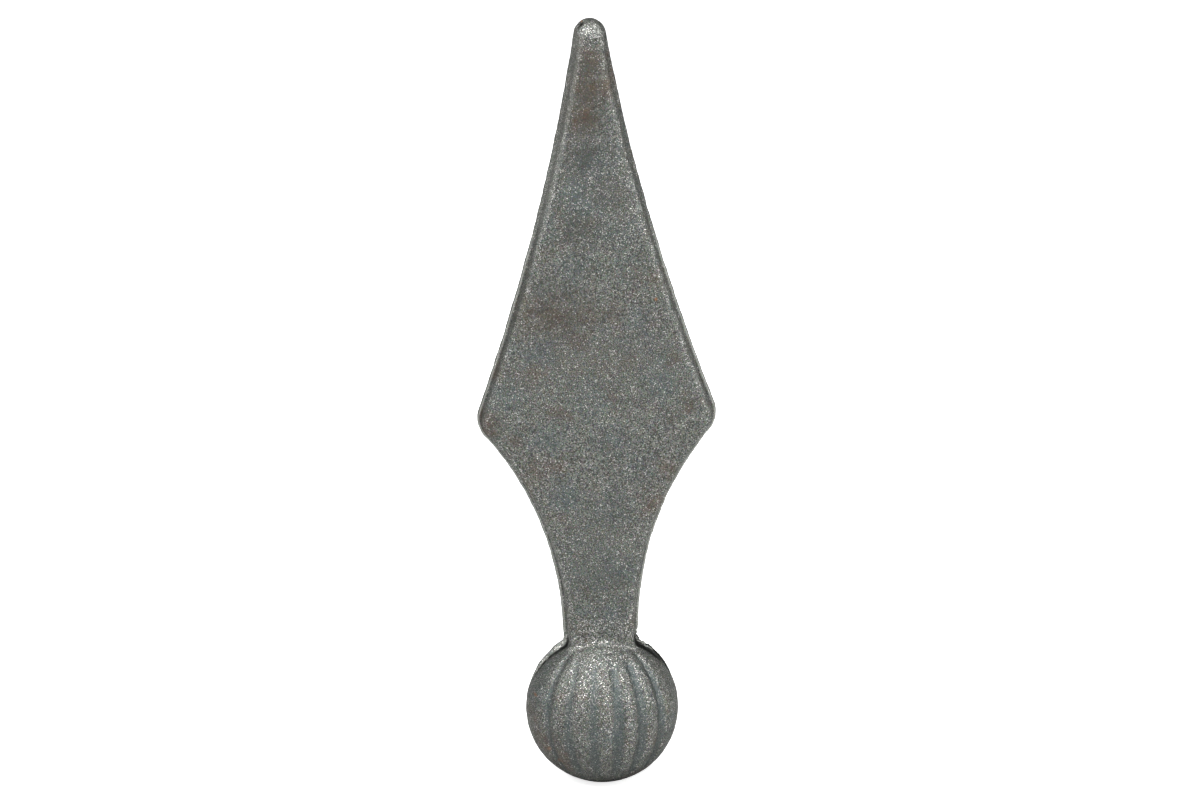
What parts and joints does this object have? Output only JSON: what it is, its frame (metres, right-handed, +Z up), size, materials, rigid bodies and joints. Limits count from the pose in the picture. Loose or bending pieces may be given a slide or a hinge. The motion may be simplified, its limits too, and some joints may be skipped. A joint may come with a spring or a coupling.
{
  "type": "spear finial",
  "caption": "Forged steel spear finial: a flat, waisted spear blade with a rounded point, standing on a vertically fluted ball with a small weld flat below.",
  "frame": {"origin": "centre of the flat weld face under the ball, where the finial meets the top of a picket", "axes": "+Z up from the weld flat through the ball to the point; X across the width of the blade; Y through the blade's thickness, with the front face at -Y"},
  "size_m": [0.05, 0.032, 0.165],
  "materials": {
    "forged_steel": "raw die-forged steel, shot-blasted to a dull dark grey with fine bright specks, patches of brown oxide and a faint blue heat tint, unpainted"
  },
  "bodies": {
    "root": {"spear_finial": "forged_steel"}
  },
  "joints": []
}
